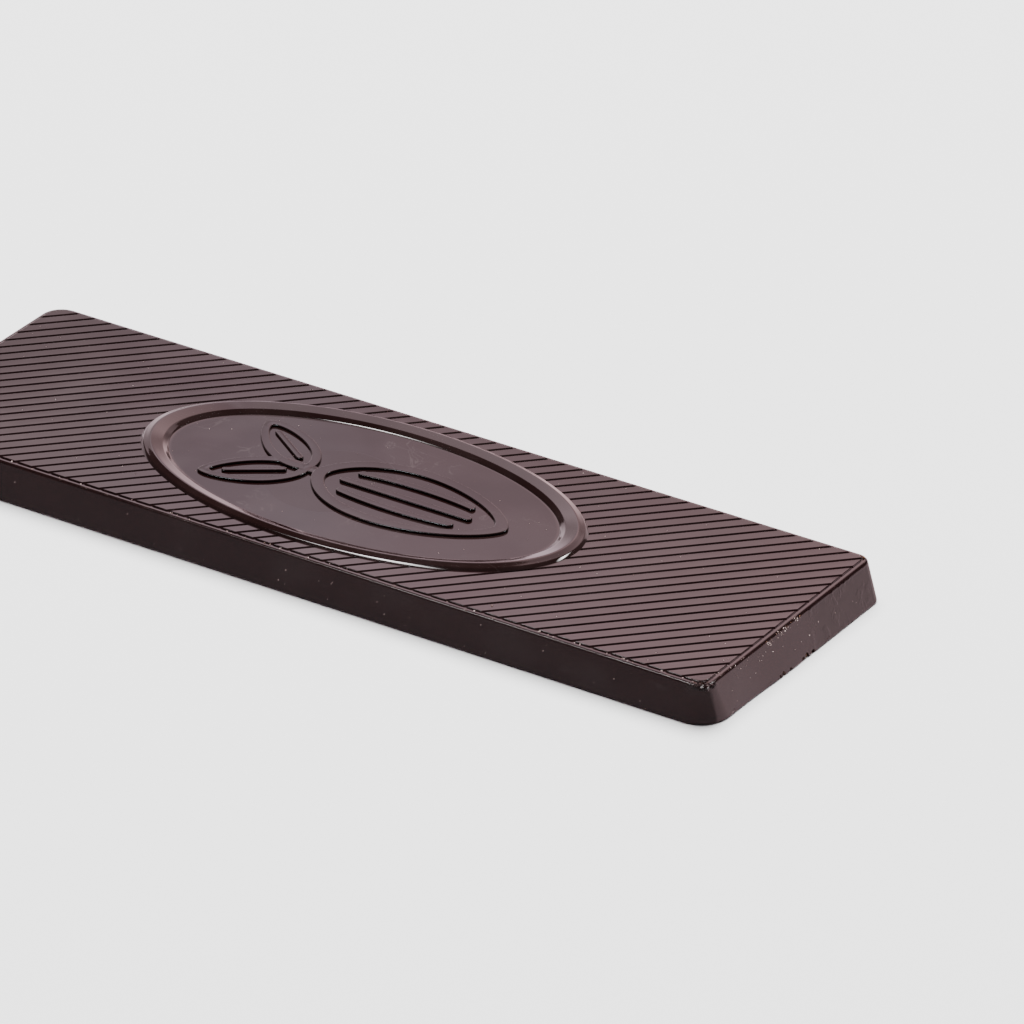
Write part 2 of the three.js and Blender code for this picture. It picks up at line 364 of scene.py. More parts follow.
def rim():
    """The oval ring, drawn from a circle by pulling its edge through the rim's section."""
    clear_selection()
    section = rim_section()
    short = OUTER_SHORT - section[0][0]
    long = long_axis(short)
    bpy.ops.mesh.primitive_circle_add(vertices=RIM_SEGMENTS, radius=1, location=(OVAL_X, 0, RIM_ROOT))
    bpy.context.object.scale = (long, short, 1)
    ring = open_for_editing("rim")
    bpy.ops.mesh.select_all(action="SELECT")
    height = RIM_ROOT
    path = [(OUTER_SHORT - inward, PLATEAU_HEIGHT + rise) for inward, rise in section]
    path.append((path[-1][0], RIM_ROOT))
    for next_short, next_height in path:
        next_long = long_axis(next_short)
        bpy.ops.mesh.extrude_edges_move(TRANSFORM_OT_translate={"value": (0, 0, next_height - height)})
        bpy.ops.transform.resize(
            value=(next_long / long, next_short / short, 1), center_override=(OVAL_X, 0, next_height))
        short, long, height = next_short, next_long, next_height
    pick("edges", lambda edge: edge.is_boundary)
    bpy.ops.mesh.bridge_edge_loops()
    bpy.ops.mesh.select_all(action="SELECT")
    bpy.ops.mesh.normals_make_consistent(inside=False)
    bpy.ops.object.mode_set(mode="OBJECT")
    return ring


def pocket():
    """The oval block that leaves the sunken field."""
    clear_selection()
    short = (OUTER_SHORT + INNER_SHORT) / 2
    lid = PLATEAU_HEIGHT + GROOVE_OVERSHOOT
    bpy.ops.mesh.primitive_cylinder_add(
        vertices=RIM_SEGMENTS, radius=1, depth=1, location=(OVAL_X, 0, (FIELD_HEIGHT + lid) / 2))
    bpy.context.object.scale = (long_axis(short), short, lid - FIELD_HEIGHT)
    block = open_for_editing("pocket")
    bpy.ops.object.mode_set(mode="OBJECT")
    return block


def raise_outline(edge=RELIEF_EDGE):
    """Raises the open flat outline off the field and rounds its top edge."""
    bpy.ops.mesh.select_all(action="SELECT")
    height = RELIEF_ROOT + RELIEF_HEIGHT
    bpy.ops.mesh.extrude_region_move(TRANSFORM_OT_translate={"value": (0, 0, height)})
    top = FIELD_HEIGHT + RELIEF_HEIGHT
    pick("edges", rim_of_level(top))
    bpy.ops.mesh.bevel(offset=edge, segments=4, affect="EDGES")
    bpy.ops.mesh.select_all(action="SELECT")
    bpy.ops.mesh.normals_make_consistent(inside=False)
    bpy.ops.object.mode_set(mode="OBJECT")


def pointed_ring(name, long, short, stroke, vertices):
    """A leaf-shaped ring, rounder at its near end: a disc stretched to the leaf and opened."""
    clear_selection()
    bpy.ops.mesh.primitive_circle_add(
        vertices=vertices, radius=1, fill_type="NGON", location=(0, 0, FIELD_HEIGHT - RELIEF_ROOT))
    piece = open_for_editing(name)
    outer_long, outer_short = long + stroke / 2, short + stroke / 2
    mesh = bmesh.from_edit_mesh(piece.data)
    for vert in mesh.verts:
        x, y = vert.co.y, -vert.co.x
        across = math.copysign(abs(y) ** LEAF_POINT, y) * (1 - LEAF_SWELL * x)
        vert.co.x, vert.co.y = x * outer_long, across * outer_short
    bmesh.update_edit_mesh(piece.data)
    bpy.ops.mesh.select_all(action="SELECT")
    bpy.ops.mesh.inset(thickness=stroke / 50)
    pick("faces", lambda face: len(face.verts) > 4)
    inner_long, inner_short = outer_long - 1.25 * stroke, outer_short - stroke
    bpy.ops.transform.resize(
        value=(inner_long / outer_long, inner_short / outer_short, 1), center_override=(0, 0, 0))
    bpy.ops.mesh.delete(type="FACE")
    raise_outline()
    return piece


def bar_stroke(name, start, end, stroke, bow=0.0):
    """A stroke with round ends along X, bowed sideways like a rib of the pod."""
    clear_selection()
    bpy.ops.mesh.primitive_circle_add(
        vertices=24, radius=stroke / 2, fill_type="NGON", location=(0, 0, FIELD_HEIGHT - RELIEF_ROOT))
    piece = open_for_editing(name)
    pick("verts", lambda vert: vert.co.x < stroke / 100)
    bpy.ops.transform.translate(value=(start, 0, 0))
    pick("verts", lambda vert: vert.co.x > stroke / 100)
    bpy.ops.transform.translate(value=(end, 0, 0))
    pick("edges", lambda edge: abs(edge.verts[0].co.x - edge.verts[1].co.x) > (end - start) / 2)
    bpy.ops.mesh.subdivide(number_cuts=24)
    mesh = bmesh.from_edit_mesh(piece.data)
    for vert in mesh.verts:
        vert.co.y += bow * math.sqrt(max(0.0, 1 - (vert.co.x / POD_LONG) ** 2))
    bmesh.update_edit_mesh(piece.data)
    raise_outline()
    return piece


def settle(piece, x=0.0, y=0.0, turn=0.0, sink=0):
    """Moves and turns a finished outline to its place, a hair lower for each piece it crosses."""
    clear_selection()
    piece.select_set(True)
    bpy.context.view_layer.objects.active = piece
    piece.location = (x + OVAL_X, y, -sink * RELIEF_SINK)
    piece.rotation_euler.z = turn
    bpy.ops.object.transform_apply(location=True, rotation=True, scale=True)
    return piece


def relief():
    """The pod with its ribs, the stem and the two leaves, joined into one raised piece."""
    pieces = [settle(pointed_ring("pod", POD_LONG, POD_SHORT, POD_STROKE, 112), x=POD_X)]
    for spread in (-RIB_SPREAD, 0.0, RIB_SPREAD):
        reach = POD_LONG * RIB_REACH * math.sqrt(1 - spread ** 2)
        rib = bar_stroke("rib", -reach, reach, RIB_STROKE, bow=spread * POD_SHORT)
        pieces.append(settle(rib, x=POD_X + RIB_SHIFT, sink=1))
    for side in (1, -1):
        turn = math.pi - side * LEAF_TURN
        x = LEAF_ROOT_X + LEAF_LONG * math.cos(turn)
        y = side * LEAF_ROOT_Y + LEAF_LONG * math.sin(turn)
        reach = VEIN_REACH * LEAF_LONG
        blade = pointed_ring("leaf", LEAF_LONG, LEAF_SHORT, LEAF_STROKE, 72)
        pieces.append(settle(blade, x, y, turn, sink=2.5 - side / 2))
        pieces.append(settle(bar_stroke("vein", -reach, reach, VEIN_STROKE), x, y, turn, sink=4.5 - side / 2))
    pieces.append(settle(bar_stroke("stem", STEM_TO, STEM_FROM, STEM_STROKE), sink=6))
    whole = pieces[0]
    for piece in pieces[1:]:
        cut(whole, piece, "UNION")
    return whole


def finish_surface(piece, angle=32):
    """Merges doubles and shades the piece smooth, with its flat faces kept flat."""
    clear_selection()
    piece.select_set(True)
    bpy.context.view_layer.objects.active = piece
    bpy.ops.object.mode_set(mode="EDIT")
    bpy.ops.mesh.select_all(action="SELECT")
    bpy.ops.mesh.remove_doubles(threshold=2e-7)
    bpy.ops.mesh.dissolve_degenerate(threshold=2e-7)
    bpy.ops.mesh.normals_make_consistent(inside=False)
    bpy.ops.object.mode_set(mode="OBJECT")
    bpy.ops.object.shade_smooth_by_angle(angle=math.radians(angle))
    flats = piece.modifiers.new("flats", "WEIGHTED_NORMAL")
    flats.mode = "FACE_AREA"
    flats.weight = 100
    flats.keep_sharp = True
    bpy.ops.object.modifier_apply(modifier=flats.name)


def side_inset(z, draft):
    """How far a drafted side stands in from the underside's outline at a height."""
    inset = draft * z / LEDGE_HEIGHT
    for radius, gap in ((BASE_EDGE_RADIUS, z), (TOP_EDGE_RADIUS, LEDGE_HEIGHT - z)):
        if gap < radius:
            inset += radius - math.sqrt(radius ** 2 - (radius - max(0.0, gap)) ** 2)
    return inset


def on_front(x, z):
    """A place on the front side."""
    return Vector((x, side_inset(z, SIDE_DRAFT) - BASE_WIDTH / 2, z))


def on_right(y, z):
    """A place on the right end."""
    return Vector((BASE_LENGTH / 2 - side_inset(z, END_DRAFT) + end_swell(y, z), y, z))


def inside_oval(x, y, long, short):
    """Whether a place lies inside an oval with these semi-axes."""
    return ((x - OVAL_X) / long) ** 2 + (y / short) ** 2 < 1


def on_top(x, y):
    """The height of the top at a place, or nothing where it is too steep for a crumb to lie."""
    if inside_oval(x, y, INNER_LONG, INNER_SHORT):
        return FIELD_HEIGHT
    if inside_oval(x, y, OUTER_LONG, OUTER_SHORT):
        return None
    across = (x - y - GROOVE_OFFSET + GROOVE_PITCH / 2) % GROOVE_PITCH - GROOVE_PITCH / 2
    return PLATEAU_HEIGHT if abs(across) > 2 * GROOVE_HALF_WIDTH else None


def lumps(name, detail):
    """A few irregular lumps of unit size to copy from."""
    made = []
    for _ in range(LUMP_PATTERNS):
        clear_selection()
        bpy.ops.mesh.primitive_ico_sphere_add(subdivisions=detail, radius=1)
        lump = open_for_editing(name)
        mesh = bmesh.from_edit_mesh(lump.data)
        for vert in mesh.verts:
            vert.co *= chance.uniform(0.7, 1.2)
        bmesh.update_edit_mesh(lump.data)
        bpy.ops.mesh.select_all(action="SELECT")
        bpy.ops.transform.resize(value=(1, chance.uniform(0.6, 0.9), chance.uniform(0.5, 0.8)))
        bpy.ops.object.mode_set(mode="OBJECT")
        made.append(lump)
    return made


def scatter(name, places, detail=1, kept_in=True):
    """Copies lumps to places, each a point and a half-size or three, kept within the bar's outline or not."""
    patterns = lumps(name, detail)
    copies = []
    for point, size in places:
        widest = LUMP_REACH * (max(size) if isinstance(size, tuple) else size)
        if kept_in:
            point.x = min(point.x, END_REACH - widest)
            point.y = max(point.y, widest - BASE_WIDTH / 2)
        pattern = chance.choice(patterns)
        copy = pattern.copy()
        copy.data = pattern.data.copy()
        bpy.context.collection.objects.link(copy)
        copy.location = point
        copy.scale = size if isinstance(size, tuple) else (size, size, size)
        copy.rotation_euler = [chance.uniform(0, math.tau) for _ in range(3)]
        copies.append(copy)
    for pattern in patterns:
        bpy.data.objects.remove(pattern)
    whole = join(copies, name)
    bpy.ops.object.transform_apply(location=True, rotation=True, scale=True)
    return whole


def top_corner(turn, outward, z):
    """A place round the top of the front right corner, a distance out from its arc."""
    middle = Vector((BASE_LENGTH / 2 - END_DRAFT, SIDE_DRAFT - BASE_WIDTH / 2, z))
    middle += FRONT_RIGHT_TOP_RADIUS * Vector((-1, 1, 0))
    return middle + (FRONT_RIGHT_TOP_RADIUS + outward) * Vector((math.cos(turn), math.sin(turn), 0))


def corner_places(count, nearest, farthest, smallest, largest):
    """Turns, distances out and sizes for the lumps and pits of the front right corner."""
    for _ in range(count):
        yield (math.radians(chance.uniform(-100, -15)), chance.uniform(nearest, farthest) * MM,
               chance.uniform(smallest, largest) * MM)


def overflow():
    """The small lumps of chocolate that stand on the front right corner's top edge."""
    places = [(top_corner(turn, reach, chance.uniform(6.9, 7.2) * MM), size)
              for turn, reach, size in corner_places(18, -0.35, -0.05, 0.2, 0.45)]
    places += [(top_corner(turn, reach, 7.42 * MM), size)
               for turn, reach, size in corner_places(18, -1.5, -0.5, 0.14, 0.34)]
    # The larger lumps: turn round the corner in degrees, distance out, height and size
    large = (
        (-72, -0.15, 7.05, 0.5),
        (-52, 0.1, 6.95, 0.62),
        (-36, 0.3, 6.95, 0.66),
        (-18, 0.3, 7.0, 0.56),
        (-4, 0.1, 7.1, 0.44),
    )
    for turn, reach, z, size in large:
        places.append((top_corner(math.radians(turn), reach * MM, z * MM), size * MM))
    return scatter("overflow", places, detail=2)


def damage():
    """The small pits, chips and crumbled corners, as one cutter."""
    places = []
    for _ in range(34):
        places.append((on_front(chance.uniform(-82, 79) * MM, chance.uniform(0.1, 0.55) * MM),
                       chance.uniform(0.1, 0.24) * MM))
    for _ in range(22):
        places.append((on_right(chance.uniform(-22, 22) * MM, chance.uniform(0.1, 0.8) * MM),
                       chance.uniform(0.08, 0.2) * MM))
    # The chips at the foot of the right end: place along it, width and depth
    chips = (
        (-4.4, 1.0, 0.95),
        (1.5, 0.8, 0.6),
        (2.6, 0.8, 0.9),
        (4.3, 1.1, 0.7),
        (-2.4, 0.9, 0.5),
        (-5.5, 0.6, 0.5),
    )
    for y, width, depth in chips:
        places.append((on_right(y * MM, CHIP_HEIGHT), (depth * MM, width * MM, depth * MM)))
    for _ in range(16):
        point = on_right(chance.uniform(-12, 4) * MM, CRUMBLE_HEIGHT)
        places.append((point, chance.uniform(0.08, 0.2) * MM))
    for turn, reach, size in corner_places(12, -0.7, -0.2, 0.12, 0.26):
        places.append((top_corner(turn, reach, 7.5 * MM), size))
    return scatter("damage", places, detail=2, kept_in=False)


def crumb_places():
    """Pale crumbs: a few thrown over the top, more along the edges, most on the worn right end."""
    def small(low=0.08, high=0.2):
        return chance.uniform(low, high) * MM
    for _ in range(150):
        x, y = chance.uniform(-81, 81) * MM, chance.uniform(-24, 24) * MM
        height = on_top(x, y)
        if height:
            yield Vector((x, y, height)), small(0.05, 0.13)
    ledge = LEDGE_WIDTH / 2 + SIDE_DRAFT + TOP_EDGE_RADIUS
    for _ in range(42):
        y = ledge + chance.uniform(-0.2, 0.2) * MM - BASE_WIDTH / 2
        yield Vector((chance.uniform(-82, 80) * MM, y, LEDGE_HEIGHT)), small()
    for _ in range(34):
        point = on_front(chance.uniform(-82, 79) * MM, chance.triangular(0.45, 6.9, 0.6) * MM)
        yield point, small(0.05, 0.12)
    # The groups on the right end: place along it, height, spread and number of crumbs
    groups = (
        (-6.6, 6.6, 0.5, 26),
        (-3.6, 6.9, 0.6, 16),
        (-1.6, 6.95, 0.4, 12),
        (1.6, 7.1, 0.5, 14),
        (-9.4, 5.6, 0.9, 7),
        (-16, 7.0, 2.0, 12),
    )
    for along, height, spread, count in groups:
        for _ in range(count):
            y, z = along + chance.gauss(0, spread), height + chance.gauss(0, 0.6 * spread)
            yield on_right(y * MM, min(7.35, z) * MM), chance.triangular(0.03, 0.17, 0.05) * MM
    for _ in range(16):
        yield on_right(chance.uniform(-20, 22) * MM, chance.uniform(0.4, 6) * MM), small(0.06, 0.14)
    for _ in range(26):
        y = chance.triangular(-22.5, -17, -20.5) * MM
        yield Vector(((80.85 + chance.gauss(0, 0.16)) * MM, y, LEDGE_HEIGHT)), small(0.04, 0.11)
    # Single crumbs on the plateau and the front ledge: place and size
    single = (
        (39.5, -22.3, 7.72, 0.2),
        (50.2, -24.8, 7.5, 0.24),
        (63, -24.9, 7.5, 0.16),
        (51.9, -24.9, 7.45, 0.14),
    )
    for x, y, z, size in single:
        yield Vector((x, y, z)) * MM, size * MM
    yield on_right(4.2 * MM, 3.3 * MM), (0.07 * MM, 0.12 * MM, 0.3 * MM)
    yield on_right(-6.2 * MM, 5.1 * MM), 0.16 * MM
    yield on_front(-30 * MM, 5.2 * MM), 0.12 * MM


def add_node(tree, kind, inputs, output=0, **settings):
    """Adds a shader node, sets or links its inputs and gives back one of its outputs."""
    made = tree.nodes.new("ShaderNode" + kind)
    for name, value in settings.items():
        setattr(made, name, value)
    for name, value in inputs.items():
        if isinstance(value, bpy.types.NodeSocket):
            tree.links.new(value, made.inputs[name])
        else:
            made.inputs[name].default_value = value
    return made.outputs[output]


def new_material(name):
    """A material with nodes, and its node tree."""
    material = bpy.data.materials.new(name)
    material.use_nodes = True
    return material, material.node_tree


def ramp(tree, value, stops):
    """The colour for a value, from positions and colours in rising order."""
    colour = add_node(tree, "ValToRGB", {"Fac": value})
    elements = colour.node.color_ramp.elements
    for element, (position, shade) in zip(elements, (stops[0], stops[-1])):
        element.position, element.color = position, shade
    for position, shade in stops[1:-1]:
        elements.new(position).color = shade
    return colour


def sum_of(tree, first, second):
    return add_node(tree, "Math", {0: first, 1: second}, operation="ADD")


def product(tree, first, second):
    return add_node(tree, "Math", {0: first, 1: second}, operation="MULTIPLY")


def span(tree, value, start, end, low=0.0, high=1.0):
    """Eases from low to high while a value goes from the start to the end."""
    inputs = {"Value": value, "From Min": start, "From Max": end, "To Min": low, "To Max": high}
    return add_node(tree, "MapRange", inputs, interpolation_type="SMOOTHSTEP")


def clouds(tree, place, size, detail=2.0, distortion=0.0):
    """Soft noise with features of a size."""
    inputs = {"Vector": place, "Scale": 1 / size, "Detail": detail, "Distortion": distortion}
    return add_node(tree, "TexNoise", inputs)


def in_oval(tree, place, z):
    """One inside the sunken field and on its relief, nought elsewhere."""
    shrunk = add_node(tree, "Mapping", {
        "Vector": place, "Location": (-OVAL_X / INNER_LONG, 0, 0),
        "Scale": (1 / INNER_LONG, 1 / INNER_SHORT, 0)})
    reach = add_node(tree, "VectorMath", {0: shrunk}, output="Value", operation="LENGTH")
    return product(tree, span(tree, reach, 1.0, 0.985), span(tree, z, 7.0 * MM, 7.1 * MM))


def scratches(tree, place, angle, length, width, start, end):
    """Thin straight lines along an angle, broken up so that only some of them show."""
    turned = add_node(tree, "Mapping", {
        "Vector": place, "Rotation": (0, 0, math.radians(angle)),
        "Scale": (1 / length, 1 / width, 1 / length)})
    lines = add_node(tree, "TexNoise", {"Vector": turned, "Scale": 1.0, "Detail": 1.0})
    some = span(tree, clouds(tree, place, 11 * MM), 0.54, 0.66)
    return product(tree, span(tree, lines, start, end), some)


def wisps(tree, place):
    """Fine curling marks, where a slow noise passes through its middle value."""
    slow = clouds(tree, place, 7 * MM, detail=3, distortion=1.4)
    away = add_node(tree, "Math", {0: slow, 1: 0.5}, operation="SUBTRACT")
    near = add_node(tree, "Math", {0: away}, operation="ABSOLUTE")
    some = span(tree, clouds(tree, place, 9 * MM), 0.58, 0.66)
    return product(tree, span(tree, near, 0.016, 0.003), some)


def cool_patch(tree, place):
    """The round patch and its edge line."""
    flat = add_node(tree, "VectorMath", {0: place, 1: (1, 1, 0)}, operation="MULTIPLY")
    gap = add_node(tree, "VectorMath", {0: flat, 1: PATCH_PLACE}, output="Value", operation="DISTANCE")
    gap = sum_of(tree, gap, product(tree, clouds(tree, place, 8 * MM), 1.2 * MM))
    radius = PATCH_RADIUS + 0.6 * MM
    inside = span(tree, gap, radius, radius - 0.5 * MM)
    away = add_node(tree, "Math", {0: gap, 1: radius}, operation="SUBTRACT")
    line = span(tree, add_node(tree, "Math", {0: away}, operation="ABSOLUTE"), 0.16 * MM, 0.02 * MM)
    return inside, line


def worn_edges(tree, place, x, y, z):
    """Where the edges of the ledge and of the underside are rubbed dull, in short stretches."""
    def beyond(value, half):
        return span(tree, add_node(tree, "Math", {0: value}, operation="ABSOLUTE"), half, half + 0.1 * MM)
    ledge = TOP_EDGE_RADIUS + LEDGE_WIDTH
    outside = add_node(tree, "Math", {
        0: beyond(x, BASE_LENGTH / 2 - END_DRAFT - ledge), 1: beyond(y, BASE_WIDTH / 2 - SIDE_DRAFT - ledge),
    }, operation="MAXIMUM")
    top = product(tree, outside, span(tree, z, 7.2 * MM, 7.4 * MM))
    bottom = span(tree, z, 0.5 * MM, 0.2 * MM)
    some = span(tree, clouds(tree, place, 1.6 * MM, detail=4), 0.56, 0.7)
    return product(tree, add_node(tree, "Math", {0: top, 1: bottom}, operation="MAXIMUM"), some)


def chocolate():
    """Dark moulded chocolate: a clean gloss with smudges, hairline scratches and rubbed edges."""
    material, tree = new_material("dark_chocolate")
    shader = tree.nodes["Principled BSDF"]
    place = add_node(tree, "TexCoord", {}, output="Object")
    x = add_node(tree, "SeparateXYZ", {"Vector": place})
    y, z = x.node.outputs["Y"], x.node.outputs["Z"]
    broken = add_node(tree, "Attribute", {}, output="Fac", attribute_name="broken")

    smudges = span(tree, clouds(tree, place, 16 * MM, detail=5), 0.45, 0.66)
    mottle = clouds(tree, place, 1.4 * MM, detail=3)
    grain = clouds(tree, place, 0.22 * MM)
    waves = clouds(tree, place, 9 * MM, detail=1)
    fine_lines = sum_of(
        tree,
        scratches(tree, place, 24, 14 * MM, 0.16 * MM, 0.7, 0.76),
        scratches(tree, place, -52, 9 * MM, 0.12 * MM, 0.71, 0.77))
    field = in_oval(tree, place, z)
    marks = product(tree, wisps(tree, place), field)
    patch, patch_line = cool_patch(tree, place)
    worn = worn_edges(tree, place, x, y, z)
    corner = add_node(tree, "VectorMath", {0: place, 1: top_corner(-math.pi / 4, 0, LEDGE_HEIGHT)},
                      output="Value", operation="DISTANCE")
    crumbled = product(tree, span(tree, corner, 3.4 * MM, 2.0 * MM), span(tree, z, 6.2 * MM, 6.7 * MM))
    side = span(tree, z, 7.1 * MM, 6.9 * MM)
    rough_end = product(tree, product(tree, side, span(tree, x, 81.2 * MM, 81.7 * MM)),
                        span(tree, y, 0.5 * MM, 9 * MM, 0.04, 1.0))
    slanting = add_node(tree, "Mapping", {
        "Vector": place, "Rotation": (math.radians(28), 0, 0), "Scale": (1, 1, 0.62)})
    torn = product(tree, span(tree, clouds(tree, slanting, 1.5 * MM, detail=6, distortion=0.4), 0.47, 0.68),
                   span(tree, clouds(tree, place, 4 * MM), 0.42, 0.56))

    tone = add_node(tree, "MixRGB", {
        "Fac": clouds(tree, place, 12 * MM, detail=4),
        "Color1": (0.005, 0.0016, 0.0015, 1), "Color2": (0.0105, 0.0036, 0.0035, 1)})
    tone = add_node(tree, "MixRGB", {
        "Fac": product(tree, smudges, 0.08), "Color1": tone, "Color2": (0.06, 0.043, 0.042, 1)})
    tone = add_node(tree, "MixRGB", {
        "Fac": product(tree, patch, 0.4), "Color1": tone, "Color2": (0.006, 0.003, 0.003, 1)})
    tone = add_node(tree, "MixRGB", {
        "Fac": product(tree, sum_of(tree, marks, fine_lines), 0.16), "Color1": tone,
        "Color2": (0.09, 0.07, 0.068, 1)})
    tone = add_node(tree, "MixRGB", {
        "Fac": product(tree, worn, 0.3), "Color1": tone, "Color2": (0.06, 0.038, 0.034, 1)})
    tone = add_node(tree, "MixRGB", {"Fac": broken, "Color1": tone, "Color2": (0.06, 0.024, 0.015, 1)})
    tree.links.new(tone, shader.inputs["Base Color"])

    gloss = span(tree, smudges, 0.0, 1.0, 0.055, 0.1)
    gloss = sum_of(tree, gloss, product(tree, sum_of(tree, marks, fine_lines), 0.07))
    gloss = sum_of(tree, gloss, product(tree, patch, 0.03))
    gloss = sum_of(tree, gloss, product(tree, product(tree, side, mottle), 0.16))
    gloss = sum_of(tree, gloss, product(tree, sum_of(tree, worn, rough_end), 0.2))
    gloss = sum_of(tree, gloss, product(tree, crumbled, 0.22))
    gloss = add_node(tree, "Math", {0: gloss, 1: product(tree, broken, 0.55)}, operation="MAXIMUM")
    tree.links.new(gloss, shader.inputs["Roughness"])
    veil = add_node(tree, "MixRGB", {
        "Fac": patch, "Color1": (0.44, 0.54, 0.57, 1), "Color2": (0.42, 0.46, 0.47, 1)})
    veil = add_node(tree, "MixRGB", {"Fac": field, "Color1": (1, 1, 1, 1), "Color2": veil})
    tree.links.new(veil, shader.inputs["Specular Tint"])

    # How far each mark stands up, in thousandths of a millimetre
    relief_height = product(tree, waves, 30.0)
    marks_up = (
        (grain, 0.5),
        (product(tree, side, mottle), 9.0),
        (fine_lines, -0.7),
        (marks, 0.5),
        (patch_line, 3.0),
        (product(tree, rough_end, torn), 36.0),
        (product(tree, worn, grain), 8.0),
        (product(tree, crumbled, mottle), 20.0),
        (product(tree, broken, grain), 40.0),
    )
    for height, amount in marks_up:
        relief_height = sum_of(tree, relief_height, product(tree, height, amount))
    normal = add_node(tree, "Bump", {"Height": relief_height, "Distance": 1e-6, "Strength": 1.0})
    tree.links.new(normal, shader.inputs["Normal"])
    shader.inputs["IOR"].default_value = 1.5
    return material


def pale_crumb():
    """The pale dusty crumbs, each a little lighter or browner than the next."""
    material, tree = new_material("pale_crumb")
    shader = tree.nodes["Principled BSDF"]
    place = add_node(tree, "TexCoord", {}, output="Object")
    tone = add_node(tree, "MixRGB", {
        "Fac": span(tree, clouds(tree, place, 1.1 * MM), 0.35, 0.65),
        "Color1": (0.16, 0.10, 0.085, 1), "Color2": (0.55, 0.42, 0.40, 1)})
    tree.links.new(tone, shader.inputs["Base Color"])
    gloss = span(tree, clouds(tree, place, 0.3 * MM), 0.3, 0.7, 0.35, 0.8)
    tree.links.new(gloss, shader.inputs["Roughness"])
    normal = add_node(tree, "Bump", {"Height": clouds(tree, place, 0.08 * MM), "Distance": 3e-5})
    tree.links.new(normal, shader.inputs["Normal"])
    return material


def raw_flake():
    """Freshly broken chocolate, browner and duller than the moulded face."""
    material, tree = new_material("raw_flake")
    shader = tree.nodes["Principled BSDF"]
    place = add_node(tree, "TexCoord", {}, output="Object")
    tone = add_node(tree, "MixRGB", {
        "Fac": span(tree, clouds(tree, place, 0.35 * MM), 0.35, 0.65),
        "Color1": (0.06, 0.022, 0.012, 1), "Color2": (0.24, 0.115, 0.06, 1)})
    tree.links.new(tone, shader.inputs["Base Color"])
    gloss = span(tree, clouds(tree, place, 0.2 * MM), 0.3, 0.7, 0.3, 0.65)
    tree.links.new(gloss, shader.inputs["Roughness"])
    normal = add_node(tree, "Bump", {"Height": clouds(tree, place, 0.1 * MM), "Distance": 4e-5})
    tree.links.new(normal, shader.inputs["Normal"])
    return material


def floor():
    """The pale floor, which doesn't show in the bar's gloss."""
    clear_selection()
    bpy.ops.mesh.primitive_circle_add(vertices=96, radius=FLOOR_RADIUS, fill_type="NGON")
    ground = open_for_editing("floor")
    bpy.ops.object.mode_set(mode="OBJECT")
    paper, tree = new_material("white_paper")
    shader = tree.nodes["Principled BSDF"]
    shader.inputs["Base Color"].default_value = (0.92, 0.92, 0.92, 1)
    shader.inputs["Roughness"].default_value = 0.9
    shader.inputs["Specular IOR Level"].default_value = 0.0
    ground.data.materials.append(paper)
    ground.visible_glossy = False


def glow(name, strength):
    """The studio's back light: dim and pinkish on the left, warmer to the right, brighter upwards."""
    material, tree = new_material(name)
    place = add_node(tree, "TexCoord", {}, output="Object")
    across = add_node(tree, "SeparateXYZ", {"Vector": place})
    along = add_node(tree, "MapRange", {"Value": across, "From Min": -0.52, "From Max": 0.0})
    hue = ramp(tree, along, (
        (0.06, (0.88, 0.685, 0.735, 1)),
        (0.115, (0.835, 0.63, 0.705, 1)),
        (0.155, (0.95, 0.735, 0.81, 1)),
        (0.2, (0.8, 0.575, 0.64, 1)),
        (0.33, (0.83, 0.58, 0.615, 1)),
        (0.55, (1.0, 0.68, 0.70, 1)),
        (0.9, (0.5, 0.36, 0.38, 1)),
    ))
    upward = across.node.outputs["Z"]
    reach = add_node(tree, "MapRange", {"Value": upward, "From Min": -0.6, "From Max": 1.8})
    brightness = ramp(tree, reach, (
        (0.31, (0.85, 0.85, 0.85, 1)),
        (0.36, (0.42, 0.42, 0.42, 1)),
        (0.4, (0.395, 0.395, 0.395, 1)),
        (0.446, (0.82, 0.82, 0.82, 1)),
        (0.85, (0.8, 0.8, 0.8, 1)),
    ))
    light = add_node(tree, "Emission", {"Color": hue, "Strength": product(tree, brightness, strength)})
    tree.links.new(light, tree.nodes["Material Output"].inputs["Surface"])
    return material


def dim():
    """The faint light from the front, pinkish like the back light."""
    material, tree = new_material("dim_light")
    light = add_node(tree, "Emission", {"Color": (1, 0.78, 0.83, 1), "Strength": 0.5})
    tree.links.new(light, tree.nodes["Material Output"].inputs["Surface"])
    return material


def only_in_gloss(piece):
    """Hides a light from the camera and lets it show only as a mirror image."""
    piece.visible_camera = False
    piece.visible_shadow = False
    piece.visible_diffuse = False


def sheet(name, first, last, low, high, material):
    """A curved sheet round the bar between two azimuths and heights, seen only in its gloss."""
    clear_selection()
    bpy.ops.mesh.primitive_cylinder_add(
        vertices=144, radius=SHEET_RADIUS, depth=high - low, location=(0, 0, (low + high) / 2),
        end_fill_type="NOTHING")
    made = open_for_editing(name)

    def away(face):
        middle = face.calc_center_median()
        azimuth = math.degrees(math.atan2(middle.x, middle.y))
        return not first <= (azimuth - first) % 360 + first <= last

    pick("faces", away)
    bpy.ops.mesh.delete(type="FACE")
    bpy.ops.object.mode_set(mode="OBJECT")
    made.data.materials.append(material)
    only_in_gloss(made)


def stand_at(azimuth, elevation, distance):
    """A place round the bar and the turn that faces it from there; the azimuth turns from +Y towards +X."""
    turn, rise = math.radians(azimuth), math.radians(elevation)
    away = Vector((math.sin(turn) * math.cos(rise), math.cos(turn) * math.cos(rise), math.sin(rise)))
    return away * distance, (-away).to_track_quat("-Z", "Y").to_euler()


